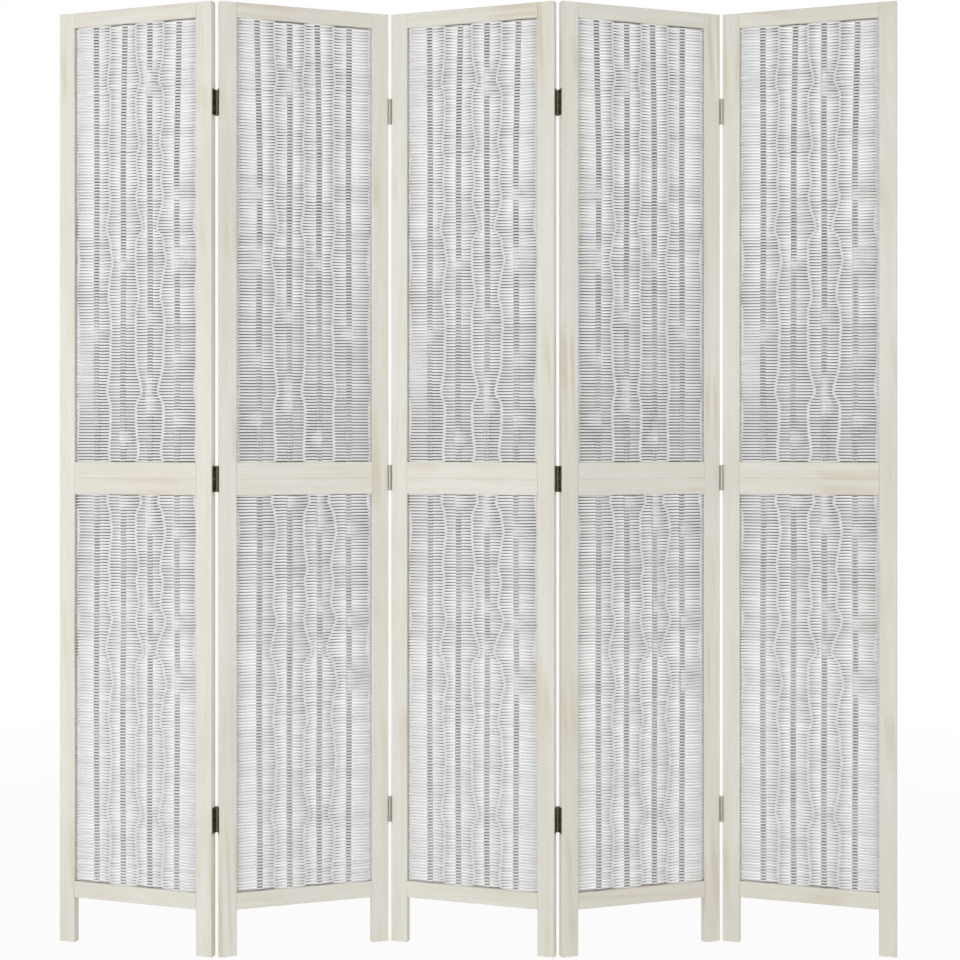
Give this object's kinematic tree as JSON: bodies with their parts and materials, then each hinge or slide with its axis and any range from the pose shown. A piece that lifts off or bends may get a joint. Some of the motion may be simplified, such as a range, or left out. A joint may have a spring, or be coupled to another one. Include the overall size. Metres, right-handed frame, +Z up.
{
  "type": "folding screen",
  "caption": "Zigzag folding screen of hinged wooden frames, each split at half height, with woven wicker panes above and below; stands free to divide a room.",
  "frame": {"origin": "on the floor under the centre of the middle panel, which is the middle of the footprint", "axes": "+Z up, +X to the right along the row of panels as seen from the front, +Y to the back"},
  "size_m": [1.4718, 0.104, 1.65],
  "materials": {
    "painted_wood": "thin cream white wash, satin",
    "wicker": "white painted wicker, matt",
    "bare_wood": "unpainted beech",
    "bronze": "dark bronze plated steel"
  },
  "bodies": {
    "panel_1": {"panel_1_upper_left_stile": "painted_wood", "panel_1_upper_right_stile": "painted_wood", "panel_1_lower_left_stile": "painted_wood", "panel_1_lower_right_stile": "painted_wood", "panel_1_upper_rails": "painted_wood", "panel_1_lower_rails": "painted_wood", "panel_1_woven_mats": "wicker", "panel_1_stakes": "wicker", "panel_1_dowels": "bare_wood", "panel_1_hinge_leaves": "bronze", "panel_1_hinge_screws": "bronze"},
    "panel_2": {"panel_2_upper_left_stile": "painted_wood", "panel_2_upper_right_stile": "painted_wood", "panel_2_lower_left_stile": "painted_wood", "panel_2_lower_right_stile": "painted_wood", "panel_2_upper_rails": "painted_wood", "panel_2_lower_rails": "painted_wood", "panel_2_woven_mats": "wicker", "panel_2_stakes": "wicker", "panel_2_dowels": "bare_wood", "panel_2_hinge_leaves": "bronze", "panel_2_hinge_screws": "bronze", "panel_2_hinge_pins": "bronze"},
    "panel_3": {"panel_3_upper_left_stile": "painted_wood", "panel_3_upper_right_stile": "painted_wood", "panel_3_lower_left_stile": "painted_wood", "panel_3_lower_right_stile": "painted_wood", "panel_3_upper_rails": "painted_wood", "panel_3_lower_rails": "painted_wood", "panel_3_woven_mats": "wicker", "panel_3_stakes": "wicker", "panel_3_dowels": "bare_wood", "panel_3_hinge_leaves": "bronze", "panel_3_hinge_screws": "bronze"},
    "panel_4": {"panel_4_upper_left_stile": "painted_wood", "panel_4_upper_right_stile": "painted_wood", "panel_4_lower_left_stile": "painted_wood", "panel_4_lower_right_stile": "painted_wood", "panel_4_upper_rails": "painted_wood", "panel_4_lower_rails": "painted_wood", "panel_4_woven_mats": "wicker", "panel_4_stakes": "wicker", "panel_4_dowels": "bare_wood", "panel_4_hinge_leaves": "bronze", "panel_4_hinge_screws": "bronze", "panel_4_hinge_pins": "bronze"},
    "panel_5": {"panel_5_upper_left_stile": "painted_wood", "panel_5_upper_right_stile": "painted_wood", "panel_5_lower_left_stile": "painted_wood", "panel_5_lower_right_stile": "painted_wood", "panel_5_upper_rails": "painted_wood", "panel_5_lower_rails": "painted_wood", "panel_5_woven_mats": "wicker", "panel_5_stakes": "wicker", "panel_5_dowels": "bare_wood", "panel_5_hinge_leaves": "bronze", "panel_5_hinge_screws": "bronze"}
  },
  "joints": [
    {"name": "panel_1_fold", "type": "hinge", "parent": "panel_2", "child": "panel_1", "pos_m": [-0.44313, -0.03567, 0], "axis": [0, 0, -1], "range_deg": [-35, 145]},
    {"name": "panel_2_fold", "type": "hinge", "parent": "panel_3", "child": "panel_2", "pos_m": [-0.14771, 0.03567, 0], "axis": [0, 0, 1], "range_deg": [-35, 145]},
    {"name": "panel_4_fold", "type": "hinge", "parent": "panel_3", "child": "panel_4", "pos_m": [0.14771, -0.03567, 0], "axis": [0, 0, 1], "range_deg": [-35, 145]},
    {"name": "panel_5_fold", "type": "hinge", "parent": "panel_4", "child": "panel_5", "pos_m": [0.44313, 0.03567, 0], "axis": [0, 0, -1], "range_deg": [-35, 145]}
  ],
  "couplings": [
    {"joint": "panel_5_fold", "follows": "panel_1_fold", "ratio": 1}
  ]
}
